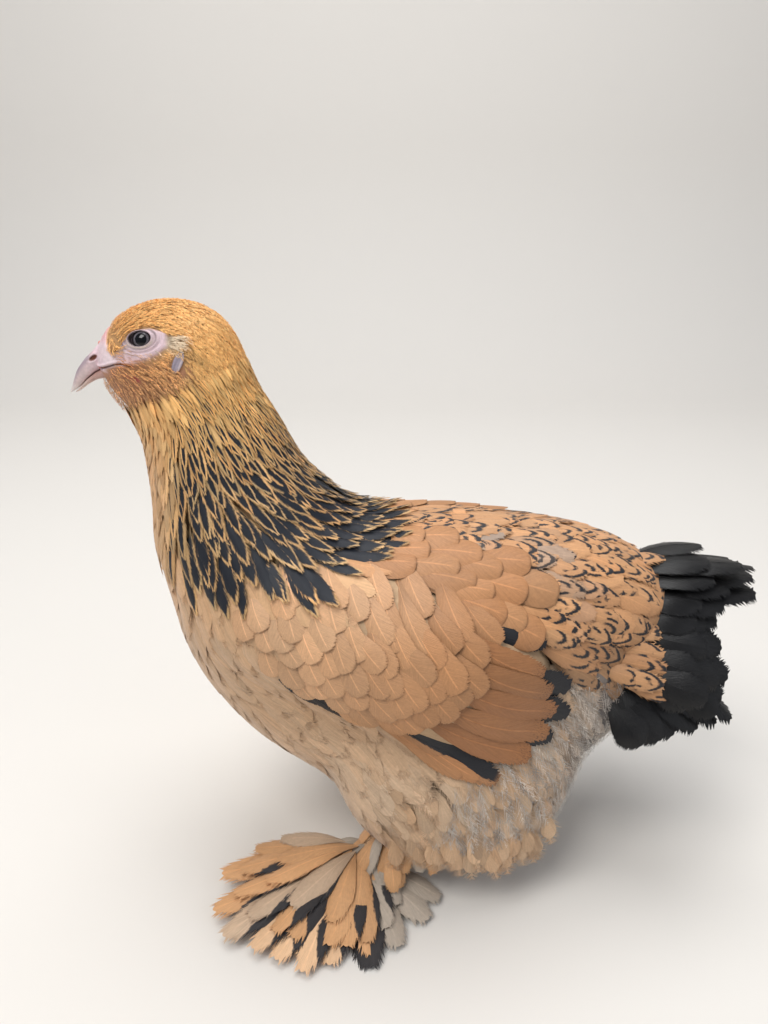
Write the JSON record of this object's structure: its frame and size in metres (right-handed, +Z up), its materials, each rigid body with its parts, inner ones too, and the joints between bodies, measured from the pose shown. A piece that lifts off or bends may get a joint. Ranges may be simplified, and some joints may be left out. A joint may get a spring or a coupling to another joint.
{
  "type": "chicken",
  "caption": "Life-size still model of a standing Brahma pullet, with feathered feet, folded wings and a low tail.",
  "frame": {"origin": "on the floor, under the centre of the bird's box", "axes": "+Z up, the bird faces -X, its left side is towards -Y"},
  "size_m": [0.4214, 0.2574, 0.3679],
  "materials": {
    "body_plumage": "soft buff feathers",
    "pale_fluff": "silky cream and grey fluff",
    "wing_feathers": "smooth tan feathers",
    "laced_hackle": "black feathers laced with gold",
    "gold_plumage": "fine gold feathers",
    "black_feathers": "glossy black feathers",
    "bare_skin": "pink bare skin",
    "horn": "pinkish horn",
    "eye": "wet grey brown iris with a black pupil",
    "leg_scales": "yellowish scales"
  },
  "bodies": {
    "root": {"torso": "body_plumage", "neck": "laced_hackle", "head": "gold_plumage", "bill_upper": "horn", "bill_lower": "horn", "comb": "bare_skin", "tail": "black_feathers", "thigh_left": "pale_fluff", "wing_left": "wing_feathers", "eye_left": "eye", "ear_lobe_left": "bare_skin", "shank_left": "leg_scales", "foot_left": "leg_scales", "foot_feathers_left": "pale_fluff", "claw_middle_left": "horn", "claw_inner_left": "horn", "claw_outer_left": "horn", "claw_hind_left": "horn", "thigh_right": "pale_fluff", "wing_right": "wing_feathers", "eye_right": "eye", "ear_lobe_right": "bare_skin", "shank_right": "leg_scales", "foot_right": "leg_scales", "foot_feathers_right": "pale_fluff", "claw_middle_right": "horn", "claw_inner_right": "horn", "claw_outer_right": "horn", "claw_hind_right": "horn"}
  },
  "joints": []
}
